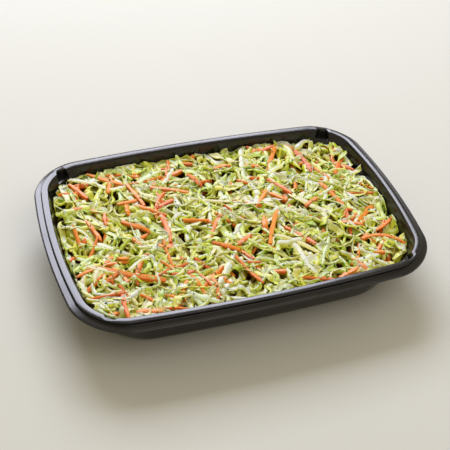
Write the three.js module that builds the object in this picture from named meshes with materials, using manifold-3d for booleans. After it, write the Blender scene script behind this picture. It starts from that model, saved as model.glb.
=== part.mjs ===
// Coleslaw in a black rectangular serving tray.
//
// Millimetres, +Z up. The tray stands on z = 0 with its centre on the Z axis
// and its long sides along X. Two solids: the moulded tray, and the heap of
// cabbage and carrot shreds that fills it.

import * as THREE from 'three';
import { mergeVertices } from 'three/addons/utils/BufferGeometryUtils.js';
import Module from 'manifold-3d';

// ---------------------------------------------------------------------------
// Driving dimensions
// ---------------------------------------------------------------------------

// Tray, over all
const TRAY_LENGTH = 290;
const TRAY_WIDTH = 200;
const TRAY_HEIGHT = 44;
const SHEET = 1.2;

// Rim: a flat band round the mouth, a step down, and a flange with a turned-down lip
const BAND_WIDTH = 5.2;
const STEP_DROP = 3.1;
const FLANGE_WIDTH = 4.9;
const LIP_HEIGHT = 2.2;
const EDGE_ROUND = 0.7;

// Outline: a rounded rectangle whose sides bow outwards
const END_BOW = 8.9;
const SIDE_BOW = 5.6;
const RIM_CORNER = 34;

// Foot, where the sloping walls would meet the ground if they weren't rounded
const FOOT_LENGTH = 243;
const FOOT_WIDTH = 156;
const FOOT_CORNER = 38;
const FOOT_BOW_SHARE = 0.6;
const FOOT_FILLET = 8;

// Stacking pockets, one by each corner, sunk into the band from the mouth
const POCKET_X = 115;
const POCKET_Y = 81.5;
const POCKET_TURN = THREE.MathUtils.degToRad(23);
const POCKET_HALF_LENGTH = 5.8;
const POCKET_HALF_DEPTH = 3;
const POCKET_DROP = 7;
const POCKET_FACETS = 16;

// Packed salad: its level at the wall, its rise to the middle, and the lumps on top
const SLAW_GAP = 0.5;
const SLAW_EDGE_LEVEL = 29.6;
const SLAW_MOUND = 3.4;
const MOUND_POWER = 4;
const LUMPS = { height: 0.9, lengthX: 9, shiftX: 0.7, lengthY: 7.5, shiftY: -0.4 };
const RIDGES = { height: 0.54, length: 13, shift: 2 };
const SLAW_CEILING = 38.4;
const CORE_CELL = 14.5;

// Shreds: shares of the mix, sizes, and the most that each kind bends from end to end
const KINDS = [
  { share: 0.6, length: [28, 52], width: [3.2, 4.8], thick: 2.2, bend: 1.5, segments: 5 },
  { share: 0.14, length: [28, 46], width: [5, 7], thick: 2.4, bend: 0.5, segments: 3 },
  { share: 0.26, length: [28, 48], width: [3.2, 4.2], thick: 3, bend: 0.5, segments: 3 },
];
const MIN_BEND = 1e-3;
const SHRED_TAPER = 0.45;
const TAPER_POWER = 4;
const SHRED_ROLL = 0.3;
const SHRED_LIFT = 0.8;
const SHRED_SEED = 20;
const FIT_ATTEMPTS = 12;

// Layers of shreds, each spread over a grid: one lying flat, and a few arched over it
const LAYERS = [
  { columns: 12, rows: 9, arch: [0, 0.5] },
  { columns: 6, rows: 4, arch: [1, 2] },
];

// Steps round the outline: arcs at the corners, and points along the bowed sides
const CORNER_STEPS = 7;
const LONG_STEPS = 6;
const SHORT_STEPS = 4;
const FILLET_STEPS = 3;
const WALL_STEPS = 2;

// Vertices nearer than this are one, and the finished heap is simplified by this much
const MERGE_DISTANCE = 1e-4;
const SIMPLIFY_STEP = 0.05;

// ---------------------------------------------------------------------------
// Outline and sections
// ---------------------------------------------------------------------------

const MOUTH_INSET = FLANGE_WIDTH + BAND_WIDTH;
const MOUTH_CORNER = RIM_CORNER - MOUTH_INSET;

// One level of the tray: a bowed, rounded rectangle, inset from the flange's edge.
function outline({ insetX, insetY, corner, bowShare }) {
  const endBow = END_BOW * bowShare;
  const sideBow = SIDE_BOW * bowShare;
  const halfLength = TRAY_LENGTH / 2 - insetX - endBow;
  const halfWidth = TRAY_WIDTH / 2 - insetY - sideBow;
  const points = [];
  const corners = [
    { signX: 1, signY: 1, start: 0 },
    { signX: -1, signY: 1, start: Math.PI / 2 },
    { signX: -1, signY: -1, start: Math.PI },
    { signX: 1, signY: -1, start: 1.5 * Math.PI },
  ];
  corners.forEach(({ signX, signY, start }, index) => {
    const centreX = signX * (halfLength - corner);
    const centreY = signY * (halfWidth - corner);
    for (let step = 0; step <= CORNER_STEPS; step += 1) {
      const angle = start + (Math.PI / 2) * (step / CORNER_STEPS);
      points.push(new THREE.Vector2(
        centreX + corner * Math.cos(angle),
        centreY + corner * Math.sin(angle),
      ));
    }
    const next = corners[(index + 1) % corners.length];
    const from = points[points.length - 1].clone();
    const to = new THREE.Vector2(
      next.signX * (halfLength - corner) + corner * Math.cos(next.start),
      next.signY * (halfWidth - corner) + corner * Math.sin(next.start),
    );
    const sideSteps = index % 2 === 0 ? LONG_STEPS : SHORT_STEPS;
    for (let step = 1; step < sideSteps; step += 1) {
      points.push(from.clone().lerp(to, step / sideSteps));
    }
  });
  return points.map(({ x, y }) => {
    const shareX = x / halfLength;
    const shareY = y / halfWidth;
    return new THREE.Vector2(
      x + Math.sign(x) * endBow * shareX ** 2 * (1 - shareY ** 2),
      y + Math.sign(y) * sideBow * shareY ** 2 * (1 - shareX ** 2),
    );
  });
}

// Level of the inner face of the wall at height z; `grow` moves it outwards.
function wallLevel(z, grow) {
  const share = 1 - z / TRAY_HEIGHT;
  const footInsetX = (TRAY_LENGTH - FOOT_LENGTH) / 2 + SHEET;
  const footInsetY = (TRAY_WIDTH - FOOT_WIDTH) / 2 + SHEET;
  return {
    z,
    insetX: THREE.MathUtils.lerp(MOUTH_INSET, footInsetX, share) - grow,
    insetY: THREE.MathUtils.lerp(MOUTH_INSET, footInsetY, share) - grow,
    corner: THREE.MathUtils.lerp(MOUTH_CORNER, FOOT_CORNER, share) + grow,
    bowShare: THREE.MathUtils.lerp(1, FOOT_BOW_SHARE, share),
  };
}

// The wall from the flat bottom, round the foot's fillet and up to height `top`.
function wallLevels(top, grow) {
  const radius = FOOT_FILLET - SHEET + grow;
  const levels = [];
  for (let step = 0; step < FILLET_STEPS; step += 1) {
    const angle = (Math.PI / 2) * (1 - step / FILLET_STEPS);
    const run = radius * (1 - Math.cos(angle));
    const level = wallLevel(FOOT_FILLET - radius * Math.sin(angle), grow);
    level.insetX += run;
    level.insetY += run;
    level.corner -= run;
    levels.push(level);
  }
  for (let step = 0; step <= WALL_STEPS; step += 1) {
    const z = THREE.MathUtils.lerp(FOOT_FILLET, top, step / WALL_STEPS);
    levels.push(wallLevel(z, grow));
  }
  return levels;
}

// A rim level: it runs parallel to the flange's edge all round.
function rimLevel(inset, z) {
  return { insetX: inset, insetY: inset, z, corner: RIM_CORNER - inset, bowShare: 1 };
}

// ---------------------------------------------------------------------------
// Solids
// ---------------------------------------------------------------------------

const wasm = await Module();
wasm.setup();

// A closed solid through a stack of levels, with a flat fan at each end.
function loft(levels) {
  const rings = levels.map((level) => outline(level).map(({ x, y }) => [x, y, level.z]));
  const count = rings[0].length;
  const positions = rings.flat(2);
  const indices = [];
  for (let ring = 0; ring < rings.length - 1; ring += 1) {
    for (let point = 0; point < count; point += 1) {
      const after = (point + 1) % count;
      const low = ring * count;
      const high = low + count;
      indices.push(low + point, low + after, high + after);
      indices.push(low + point, high + after, high + point);
    }
  }
  const firstCentre = rings.length * count;
  const lastCentre = firstCentre + 1;
  const lastRing = (rings.length - 1) * count;
  positions.push(0, 0, levels[0].z, 0, 0, levels[levels.length - 1].z);
  for (let point = 0; point < count; point += 1) {
    const after = (point + 1) % count;
    indices.push(firstCentre, after, point);
    indices.push(lastCentre, lastRing + point, lastRing + after);
  }
  const geometry = new THREE.BufferGeometry();
  geometry.setAttribute('position', new THREE.Float32BufferAttribute(positions, 3));
  geometry.setIndex(indices);
  return geometry;
}

function toManifold(geometry) {
  const bare = new THREE.BufferGeometry();
  bare.setAttribute('position', geometry.getAttribute('position'));
  bare.setIndex(geometry.getIndex());
  const merged = mergeVertices(bare, MERGE_DISTANCE);
  return new wasm.Manifold(new wasm.Mesh({
    numProp: 3,
    vertProperties: new Float32Array(merged.getAttribute('position').array),
    triVerts: new Uint32Array(merged.getIndex().array),
  }));
}

function toGeometry(manifold) {
  const { vertProperties, triVerts, numProp } = manifold.getMesh();
  const positions = [];
  for (let vertex = 0; vertex < vertProperties.length; vertex += numProp) {
    positions.push(...vertProperties.slice(vertex, vertex + 3));
  }
  const geometry = new THREE.BufferGeometry();
  geometry.setAttribute('position', new THREE.Float32BufferAttribute(positions, 3));
  geometry.setIndex(Array.from(triVerts));
  geometry.computeVertexNormals();
  return geometry;
}

// ---------------------------------------------------------------------------
// Tray
// ---------------------------------------------------------------------------

// An upright elliptical plug at one stacking pocket, `grow` larger all round.
function pocketPlug(signX, signY, bottom, top, grow) {
  const plug = new THREE.CylinderGeometry(1, 1, 1, POCKET_FACETS);
  plug.rotateX(Math.PI / 2);
  plug.scale(POCKET_HALF_LENGTH + grow, POCKET_HALF_DEPTH + grow, top - bottom);
  plug.rotateZ(-signX * signY * POCKET_TURN);
  plug.translate(signX * POCKET_X, signY * POCKET_Y, (top + bottom) / 2);
  return toManifold(plug);
}

function trayGeometry() {
  const flangeTop = TRAY_HEIGHT - STEP_DROP;
  const bandUnderside = TRAY_HEIGHT - SHEET;
  const lipBottom = flangeTop - LIP_HEIGHT;
  const outerWall = wallLevels(bandUnderside, SHEET);
  const innerWall = wallLevels(TRAY_HEIGHT - EDGE_ROUND, 0).reverse();
  let tray = toManifold(loft([
    ...outerWall,
    rimLevel(FLANGE_WIDTH + SHEET, bandUnderside),
    rimLevel(FLANGE_WIDTH + SHEET, flangeTop - SHEET),
    rimLevel(SHEET, flangeTop - SHEET),
    rimLevel(SHEET, lipBottom),
    rimLevel(0, lipBottom),
    rimLevel(0, flangeTop - EDGE_ROUND),
    rimLevel(EDGE_ROUND, flangeTop),
    rimLevel(FLANGE_WIDTH, flangeTop),
    rimLevel(FLANGE_WIDTH, TRAY_HEIGHT - EDGE_ROUND),
    rimLevel(FLANGE_WIDTH + EDGE_ROUND, TRAY_HEIGHT),
    rimLevel(MOUTH_INSET - EDGE_ROUND, TRAY_HEIGHT),
    ...innerWall,
  ]));
  const inside = toManifold(loft(wallLevels(TRAY_HEIGHT + SHEET, 0)));
  const pocketFloor = TRAY_HEIGHT - POCKET_DROP;
  const shellTop = TRAY_HEIGHT - SHEET / 2;
  for (const signX of [-1, 1]) {
    for (const signY of [-1, 1]) {
      const shell = pocketPlug(signX, signY, pocketFloor - SHEET, shellTop, SHEET);
      const hollow = pocketPlug(signX, signY, pocketFloor, TRAY_HEIGHT + SHEET, 0);
      tray = tray.add(shell.subtract(inside)).subtract(hollow);
    }
  }
  return toGeometry(tray);
}

// ---------------------------------------------------------------------------
// Coleslaw
// ---------------------------------------------------------------------------

// Repeatable random numbers from 0 to 1.
function seededRandom(seed) {
  let state = seed;
  return () => {
    state = (state * 1664525 + 1013904223) % 4294967296;
    return state / 4294967296;
  };
}

// Height of the packed salad under the loose shreds.
function slawHeight(x, y) {
  const across = x / (TRAY_LENGTH / 2);
  const along = y / (TRAY_WIDTH / 2);
  const mound = SLAW_MOUND * (1 - across ** MOUND_POWER) * (1 - along ** MOUND_POWER);
  const waveX = Math.sin(x / LUMPS.lengthX + LUMPS.shiftX);
  const waveY = Math.cos(y / LUMPS.lengthY + LUMPS.shiftY);
  const ridges = RIDGES.height * Math.sin((x - y) / RIDGES.length + RIDGES.shift);
  return SLAW_EDGE_LEVEL + mound + LUMPS.height * waveX * waveY + ridges;
}

// The space inside the tray, one gap clear of its walls and floor.
function slawSpace() {
  return toManifold(loft(wallLevels(TRAY_HEIGHT, -SLAW_GAP)));
}

// A block whose top follows the packed salad's height.
function heapBlock() {
  const cellsX = Math.round(TRAY_LENGTH / CORE_CELL);
  const cellsY = Math.round(TRAY_WIDTH / CORE_CELL);
  const block = new THREE.BoxGeometry(TRAY_LENGTH, TRAY_WIDTH, 1, cellsX, cellsY, 1);
  const position = block.getAttribute('position');
  for (let index = 0; index < position.count; index += 1) {
    const isTop = position.getZ(index) > 0;
    position.setZ(index, isTop ? slawHeight(position.getX(index), position.getY(index)) : -1);
  }
  return toManifold(block);
}

function pick(random, [low, high]) {
  return THREE.MathUtils.lerp(low, high, random());
}

function pickKind(random) {
  let draw = random();
  return KINDS.find((kind) => {
    draw -= kind.share;
    return draw < 0;
  }) ?? KINDS[0];
}

// One shred: a strip that tapers to its ends, bent along an arc about (centreX, centreY)
// and draped over the packed salad, its middle raised by `arch` over its tucked ends.
function shredGeometry(random, kind, centreX, centreY, arch) {
  const length = pick(random, kind.length);
  const width = pick(random, kind.width);
  const heading = random() * Math.PI;
  const bend = (2 * random() - 1) * kind.bend + MIN_BEND;
  const roll = (2 * random() - 1) * SHRED_ROLL;
  const radius = length / bend;
  const strip = new THREE.BoxGeometry(length, width, kind.thick, kind.segments, 1, 1);
  const position = strip.getAttribute('position');
  const turned = new THREE.Vector2();
  const centre = new THREE.Vector2(centreX, centreY);
  const origin = new THREE.Vector2();
  for (let index = 0; index < position.count; index += 1) {
    const share = position.getX(index) / (length / 2);
    const side = position.getY(index) * (1 - SHRED_TAPER * share ** TAPER_POWER);
    const angle = (bend / 2) * share;
    turned.set(radius * Math.sin(angle), radius * (1 - Math.cos(angle)));
    turned.rotateAround(origin, heading).add(centre);
    const spineLevel = slawHeight(turned.x, turned.y) + SHRED_LIFT + arch * (1 - share ** 2);
    turned.x -= side * Math.sin(heading + angle);
    turned.y += side * Math.cos(heading + angle);
    const level = spineLevel + position.getZ(index) + side * Math.tan(roll);
    position.setXYZ(index, turned.x, turned.y, level);
  }
  return strip;
}

// Whether a point lies within a closed outline.
function isInside(edge, x, y) {
  let inside = false;
  edge.forEach((from, index) => {
    const to = edge[(index + 1) % edge.length];
    const crosses = (from.y > y) !== (to.y > y);
    if (crosses && x < from.x + ((to.x - from.x) * (y - from.y)) / (to.y - from.y)) {
      inside = !inside;
    }
  });
  return inside;
}

// Whether a shred keeps clear of the wall and of the ceiling.
function fits(geometry, edge) {
  const position = geometry.getAttribute('position');
  for (let index = 0; index < position.count; index += 1) {
    const inside = isInside(edge, position.getX(index), position.getY(index));
    if (!inside || position.getZ(index) > SLAW_CEILING) {
      return false;
    }
  }
  return true;
}

// One layer of shreds, spread evenly by a jittered grid over the tray.
function shredLayer(random, { columns, rows, arch }) {
  const edge = outline(wallLevel(SLAW_EDGE_LEVEL, -SLAW_GAP));
  const cellX = TRAY_LENGTH / columns;
  const cellY = TRAY_WIDTH / rows;
  const shreds = [];
  for (let column = 0; column < columns; column += 1) {
    for (let row = 0; row < rows; row += 1) {
      const kind = pickKind(random);
      for (let attempt = 0; attempt < FIT_ATTEMPTS; attempt += 1) {
        const x = (column + random()) * cellX - TRAY_LENGTH / 2;
        const y = (row + random()) * cellY - TRAY_WIDTH / 2;
        const shred = shredGeometry(random, kind, x, y, pick(random, arch));
        if (fits(shred, edge)) {
          shreds.push(toManifold(shred));
          break;
        }
      }
    }
  }
  return shreds;
}

// The packed salad with its shreds fused on, as one body: loose scraps and sealed
// hollows are separate shells, so keeping the largest shell drops the one and fills the other.
function coleslawGeometry() {
  const random = seededRandom(SHRED_SEED);
  const core = slawSpace().intersect(heapBlock());
  const shreds = LAYERS.flatMap((layer) => shredLayer(random, layer));
  const heap = wasm.Manifold.union([core, ...shreds]).simplify(SIMPLIFY_STEP);
  const shells = heap.decompose();
  shells.sort((one, other) => other.volume() - one.volume());
  return toGeometry(shells[0]);
}

// ---------------------------------------------------------------------------
// Scene
// ---------------------------------------------------------------------------

function part(name, geometry, colour, roughness) {
  const material = new THREE.MeshStandardMaterial({ color: colour, roughness, metalness: 0 });
  const mesh = new THREE.Mesh(geometry, material);
  mesh.name = name;
  return mesh;
}

const filledTray = new THREE.Group();
filledTray.add(part('tray', trayGeometry(), 0x17171a, 0.35));
filledTray.add(part('coleslaw', coleslawGeometry(), 0xd9dfa0, 0.45));

export default filledTray;
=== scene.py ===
"""Looks of a rectangular serving tray of coleslaw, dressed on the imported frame.

The tray is one moulded skin with a stepped rim and four stacking pockets. The coleslaw is a
core with about 1,800 cut vegetables and some flecks of herb laid on it one after another, so
that each rests on what lies below it. Lengths are in metres where nothing else is said, +Z is
up, and the tray's centre is on the Z axis.
"""

from __future__ import annotations

import logging
import math
from collections.abc import Mapping, Sequence
from dataclasses import dataclass, field, replace
from enum import Enum
from typing import Any

import bmesh
import bpy
import numpy as np
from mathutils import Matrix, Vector

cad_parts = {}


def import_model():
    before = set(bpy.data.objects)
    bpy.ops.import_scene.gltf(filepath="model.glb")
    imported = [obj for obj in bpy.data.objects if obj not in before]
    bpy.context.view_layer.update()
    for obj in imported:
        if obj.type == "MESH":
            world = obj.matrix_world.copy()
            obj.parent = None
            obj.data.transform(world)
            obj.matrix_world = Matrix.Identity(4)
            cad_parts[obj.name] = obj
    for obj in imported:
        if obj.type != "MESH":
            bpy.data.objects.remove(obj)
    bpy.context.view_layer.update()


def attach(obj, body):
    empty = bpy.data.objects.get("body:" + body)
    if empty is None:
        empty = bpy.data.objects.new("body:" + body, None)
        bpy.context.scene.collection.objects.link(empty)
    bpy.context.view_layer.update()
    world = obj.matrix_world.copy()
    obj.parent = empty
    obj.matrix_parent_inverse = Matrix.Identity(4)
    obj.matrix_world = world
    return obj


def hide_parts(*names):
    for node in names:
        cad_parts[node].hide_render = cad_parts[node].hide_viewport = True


logging.basicConfig(level=logging.INFO, format="%(message)s")
LOG = logging.getLogger("coleslaw")

MM = 0.001
BODY = "root"
TINY = 1e-9

Colour = tuple[float, float, float]
Range = tuple[float, float]


# Shader building


class Signal:
    """A number that varies over a surface: one output socket, with arithmetic."""

    def __init__(self, graph: "Graph", socket: bpy.types.NodeSocket) -> None:
        """Wraps a socket of a graph.

        Args:
            graph: the graph.
            socket: the output socket.
        """
        self.graph = graph
        self.socket = socket

    def _math(self, operation: str, *values: "Signal | float") -> "Signal":
        """Adds one Math node over the values.

        Args:
            operation: what the node does.
            values: its inputs, in order.

        Returns:
            Its result.
        """
        node = self.graph.node(
            "ShaderNodeMath", {"operation": operation}, dict(enumerate(values))
        )
        return Signal(self.graph, node.outputs[0])

    def __add__(self, other: "Signal | float") -> "Signal":
        """Sum."""
        return self._math("ADD", self, other)

    __radd__ = __add__

    def __sub__(self, other: "Signal | float") -> "Signal":
        """Difference."""
        return self._math("SUBTRACT", self, other)

    def __rsub__(self, other: float) -> "Signal":
        """Difference, reflected."""
        return self._math("SUBTRACT", other, self)

    def __mul__(self, other: "Signal | float") -> "Signal":
        """Product."""
        return self._math("MULTIPLY", self, other)

    __rmul__ = __mul__

    def clamped(self) -> "Signal":
        """The same number, held from 0 to 1."""
        node = self.graph.node("ShaderNodeClamp", {}, {"Value": self})
        return Signal(self.graph, node.outputs[0])

    def stepped(self, low: float, high: float) -> "Signal":
        """0 below low, 1 above high, and a smooth rise between them.

        Args:
            low: where the rise starts.
            high: where it ends.

        Returns:
            The stepped number.
        """
        node = self.graph.node(
            "ShaderNodeMapRange",
            {"interpolation_type": "SMOOTHSTEP"},
            {"Value": self, "From Min": low, "From Max": high},
        )
        return Signal(self.graph, node.outputs[0])


class Graph:
    """A material and its node tree."""

    def __init__(self, name: str) -> None:
        """Makes a material with a Principled shader and nothing else.

        Args:
            name: the material's name.
        """
        self.material = bpy.data.materials.new(name)
        self.material.use_nodes = True
        self.tree = self.material.node_tree
        self.shader = self.tree.nodes["Principled BSDF"]

    def node(
        self, kind: str, settings: Mapping[str, Any], inputs: Mapping[Any, Any]
    ) -> bpy.types.Node:
        """Adds a node.

        Args:
            kind: the node's type.
            settings: properties, set first.
            inputs: values or links, by the input's name or number.

        Returns:
            The node.
        """
        node = self.tree.nodes.new(kind)
        for name, value in settings.items():
            setattr(node, name, value)
        for name, value in inputs.items():
            self.feed(node.inputs[name], value)
        return node

    def feed(self, target: bpy.types.NodeSocket, value: Any) -> None:
        """Links a signal or socket to an input, or sets the input's own value.

        Args:
            target: the input.
            value: a signal, a socket or a plain value.
        """
        if isinstance(value, Signal):
            value = value.socket
        if isinstance(value, bpy.types.NodeSocket):
            self.tree.links.new(value, target)
        else:
            target.default_value = value

    def attribute(self, name: str) -> Signal:
        """A number stored on the mesh."""
        node = self.node("ShaderNodeAttribute", {"attribute_name": name}, {})
        return Signal(self, node.outputs["Fac"])

    def noise(self, size: float, detail: float = 2.0, rough: float = 0.5) -> Signal:
        """Noise in object space.

        Args:
            size: distance between its lumps, in metres.
            detail: octaves.
            rough: share that each octave keeps.

        Returns:
            A number around 0.5.
        """
        place = self.node("ShaderNodeTexCoord", {}, {}).outputs["Object"]
        inputs = {"Vector": place, "Scale": 1 / size, "Detail": detail, "Roughness": rough}
        return Signal(self, self.node("ShaderNodeTexNoise", {}, inputs).outputs["Fac"])

    def strand(self, stretch: float, size: float) -> Signal:
        """Noise that runs along each strand, read from the numbers that its mesh carries.

        Args:
            stretch: how many times longer than wide its lumps are.
            size: distance between its lumps across the strand, in metres.

        Returns:
            A number around 0.5.
        """
        along = self.attribute("along") * (1 / stretch)
        inputs = {"X": along, "Y": self.attribute("across"), "Z": self.attribute("tag")}
        place = self.node("ShaderNodeCombineXYZ", {}, inputs).outputs["Vector"]
        inputs = {"Vector": place, "Scale": 1 / size, "Detail": 3.0, "Roughness": 0.6}
        return Signal(self, self.node("ShaderNodeTexNoise", {}, inputs).outputs["Fac"])

    def ramp(
        self, factor: Signal, stops: Sequence[tuple[float, Colour]]
    ) -> bpy.types.NodeSocket:
        """A colour that follows a number.

        Args:
            factor: the number.
            stops: places from 0 to 1 and their colours.

        Returns:
            The colour's socket.
        """
        node = self.node("ShaderNodeValToRGB", {}, {"Fac": factor})
        elements = node.color_ramp.elements
        while len(elements) < len(stops):
            elements.new(0.5)
        for element, (place, colour) in zip(elements, stops):
            element.position = place
            element.color = (*colour, 1.0)
        return node.outputs["Color"]

    def mix(self, factor: Signal, first: Any, second: Any) -> bpy.types.NodeSocket:
        """A colour between two colours.

        Args:
            factor: 0 for the first, 1 for the second.
            first: a colour or its socket.
            second: a colour or its socket.

        Returns:
            The mixed colour's socket.
        """
        node = self.node("ShaderNodeMix", {"data_type": "RGBA"}, {0: factor})
        for socket, colour in ((node.inputs[6], first), (node.inputs[7], second)):
            self.feed(socket, (*colour, 1.0) if isinstance(colour, tuple) else colour)
        return node.outputs[2]

    def bump(self, height: Signal, depth: float) -> bpy.types.NodeSocket:
        """A normal bent by a height.

        Args:
            height: from 0 to 1.
            depth: what 1 stands for, in metres.

        Returns:
            The normal's socket.
        """
        inputs = {"Height": height, "Distance": depth, "Strength": 1.0}
        return self.node("ShaderNodeBump", {}, inputs).outputs["Normal"]

    def dress(self, values: Mapping[str, Any]) -> bpy.types.Material:
        """Sets or links the shader's inputs.

        Args:
            values: values or links, by the input's name.

        Returns:
            The finished material.
        """
        for name, value in values.items():
            self.feed(self.shader.inputs[name], value)
        return self.material


# Finishes


@dataclass(frozen=True)
class MouldedPlastic:
    """Black thermoformed plastic: satin, with a faint orange peel and finger marks."""

    colour: Colour = (0.006, 0.0056, 0.0066)
    marked: Colour = (0.012, 0.011, 0.011)
    sheen_tint: Colour = (0.93, 0.9, 1.0)
    roughness: float = 0.18
    ior: float = 1.58
    grain: float = 0.0016
    grain_depth: float = 0.000012
    smear_size: float = 0.035
    smear_limits: Range = (0.42, 0.68)
    smear_roughness: float = 0.06

    def material(self) -> bpy.types.Material:
        """Builds the material.

        Returns:
            The material.
        """
        graph = Graph("black_plastic")
        smear = graph.noise(self.smear_size, 3.0).stepped(*self.smear_limits)
        peel = graph.noise(self.grain, 2.0)
        return graph.dress(
            {
                "Base Color": graph.mix(smear, self.colour, self.marked),
                "Roughness": smear * self.smear_roughness + self.roughness,
                "IOR": self.ior,
                "Specular Tint": (*self.sheen_tint, 1.0),
                "Normal": graph.bump(peel, self.grain_depth),
            }
        )


@dataclass(frozen=True)
class DressedVegetable:
    """Cut vegetable under a thin film of creamy dressing.

    The mesh carries the numbers that it reads. `tone` walks the colours, `film` thickens the
    dressing, `rim` is 1 along the cut edges, `up` is 1 where a piece faces up and towards the
    key light, where the faces are painted paler and creamier as a painted highlight, and
    `depth` is 1 well below the heap's top, where a painted shade mixes in a dark, saturated
    colour, takes the cream away and thins the coat.
    Pieces drift towards a warm or a cool colour by their `tag`. Fields that end in `_tone` or
    `_film` say how strongly a number moves the tone or the film.
    """

    name: str
    stops: tuple[tuple[float, Colour], ...]
    cream: Colour
    # Colour of the painted shade deep in the heap.
    cream_share: float
    deep_shade: Colour
    roughness: float
    glow: float
    wet: float = 0.24
    sheen: float = 0.26
    glow_reach: float = 0.0012
    glow_radius: Colour = (1.0, 1.0, 0.7)
    ior: float = 1.5
    coat_roughness: float = 0.36
    rim_tone: float = -0.08
    patch_tone: float = 0.4
    fibre_tone: float = 0.25
    # Painted highlight: how much paler the faces turned up and towards the key light are.
    lit_side_tone: float = -0.2
    own_film: float = 0.5
    patch_film: float = 0.7
    # Painted shade: how far depth below the heap's top takes the cream away.
    deep_shade_film: float = -0.6
    film_limits: Range = (0.7, 1.22)
    # Painted shade: how much of the deep colour the deepest parts take.
    deep_shade_share: float = 0.62
    warm: Colour = (0.0, 0.0, 0.0)
    cool: Colour = (0.0, 0.0, 0.0)
    drift: float = 0.0
    drift_limits: Range = (0.55, 1.0)
    patch: float = 0.007
    fibre: float = 0.0007
    fibre_stretch: float = 7.0
    fibre_depth: float = 0.00012
    fibre_roughness: float = 0.2

    def material(self) -> bpy.types.Material:
        """Builds the material.

        Returns:
            The material.
        """
        graph = Graph(self.name)
        patches = graph.noise(self.patch, 3.0, 0.6)
        fibres = graph.strand(self.fibre_stretch, self.fibre)
        # Faces turned up and towards the key light get a painted highlight: a paler tone and more
        # cream.
        lit_side, tag = graph.attribute("up"), graph.attribute("tag")
        tone = graph.attribute("tone") + graph.attribute("rim") * self.rim_tone
        tone = tone + (patches - 0.5) * self.patch_tone + (fibres - 0.5) * self.fibre_tone
        tone = tone + lit_side * self.lit_side_tone
        # `sunk` grows with depth below the heap's top and paints shade there: less cream, a dark
        # saturated colour mixed in and a thinner coat.
        sunk = graph.attribute("depth").stepped(0.0, 1.0)
        film = graph.attribute("film") * self.own_film + (patches - 0.5) * self.patch_film
        film = (film + lit_side + sunk * self.deep_shade_film).stepped(*self.film_limits)
        flesh = graph.ramp(tone.clamped(), self.stops)
        dressed = graph.mix(film * self.cream_share, flesh, self.cream)
        for side, colour in ((tag, self.warm), (1 - tag, self.cool)):
            share = side.stepped(*self.drift_limits) * self.drift
            dressed = graph.mix(share, dressed, colour)
        return graph.dress(
            {
                "Base Color": graph.mix(sunk * self.deep_shade_share, dressed, self.deep_shade),
                "Roughness": (fibres - 0.5) * self.fibre_roughness + self.roughness,
                "Subsurface Weight": self.glow,
                "Subsurface Radius": self.glow_radius,
                "Subsurface Scale": self.glow_reach,
                "IOR": self.ior,
                "Specular IOR Level": self.sheen,
                "Coat Weight": (1 - sunk) * self.wet,
                "Coat Roughness": self.coat_roughness,
                "Normal": graph.bump(fibres + patches, self.fibre_depth),
            }
        )


CABBAGE = DressedVegetable(
    name="cabbage_flesh",
    stops=(
        (0.0, (0.76, 0.76, 0.27)),
        (0.3, (0.71, 0.72, 0.04)),
        (0.6, (0.53, 0.64, 0.008)),
        (1.0, (0.24, 0.4, 0.003)),
    ),
    cream=(0.7, 0.72, 0.685),
    cream_share=0.95,
    # Painted shade colour for parts deep in the heap.
    deep_shade=(0.5, 0.26, 0.001),
    roughness=0.36,
    glow=0.7,
    warm=(0.82, 0.68, 0.2),
    cool=(0.54, 0.76, 0.26),
    drift=0.4,
)

CARROT = DressedVegetable(
    name="carrot_flesh",
    stops=(
        (0.0, (0.82, 0.235, 0.006)),
        (0.5, (0.71, 0.133, 0.002)),
        (1.0, (0.55, 0.063, 0.001)),
    ),
    cream=(0.9, 0.45, 0.13),
    cream_share=0.42,
    wet=0.35,
    # Painted shade colour for parts deep in the heap.
    deep_shade=(0.42, 0.07, 0.001),
    roughness=0.36,
    glow=0.6,
    warm=(0.92, 0.34, 0.02),
    cool=(0.8, 0.14, 0.02),
    drift=0.5,
)

HERB = DressedVegetable(
    name="herb_leaf",
    stops=((0.0, (0.09, 0.22, 0.01)), (1.0, (0.015, 0.06, 0.003))),
    cream=(0.12, 0.16, 0.05),
    cream_share=0.25,
    # Painted shade colour for parts deep in the heap.
    deep_shade=(0.01, 0.03, 0.002),
    roughness=0.6,
    sheen=0.15,
    glow=0.0,
    wet=0.0,
)

# Painted shade: the core shows only in the gaps between pieces, so it is coloured dark brown and
# amber as shade there.
CORE_PAINTED_SHADE = DressedVegetable(
    name="slaw_shade",
    stops=((0.0, (0.45, 0.34, 0.02)), (0.6, (0.34, 0.23, 0.01)), (1.0, (0.34, 0.1, 0.005))),
    cream=(0.45, 0.38, 0.08),
    cream_share=0.25,
    # Painted shade colour for parts deep in the heap.
    deep_shade=(0.3, 0.17, 0.003),
    roughness=0.5,
    sheen=0.15,
    wet=0.0,
    glow=0.0,
)


@dataclass(frozen=True)
class PaleFloor:
    """Plain matt floor, faintly mottled."""

    colour: Colour = (0.66, 0.655, 0.65)
    shade: float = 0.97
    mottle_size: float = 0.4
    roughness: float = 0.85

    def material(self) -> bpy.types.Material:
        """Builds the material.

        Returns:
            The material.
        """
        graph = Graph("pale_floor")
        shaded = tuple(part * self.shade for part in self.colour)
        colour = graph.mix(graph.noise(self.mottle_size), self.colour, shaded)
        return graph.dress({"Base Color": colour, "Roughness": self.roughness})


# Mesh helpers


def deselect() -> None:
    """Leaves nothing selected, so that an operator acts on the new piece alone."""
    if bpy.context.object and bpy.context.object.mode != "OBJECT":
        bpy.ops.object.mode_set(mode="OBJECT")
    bpy.ops.object.select_all(action="DESELECT")


def unit(vectors: np.ndarray) -> np.ndarray:
    """The same vectors, each one long."""
    return vectors / np.maximum(np.linalg.norm(vectors, axis=-1, keepdims=True), TINY)


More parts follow.
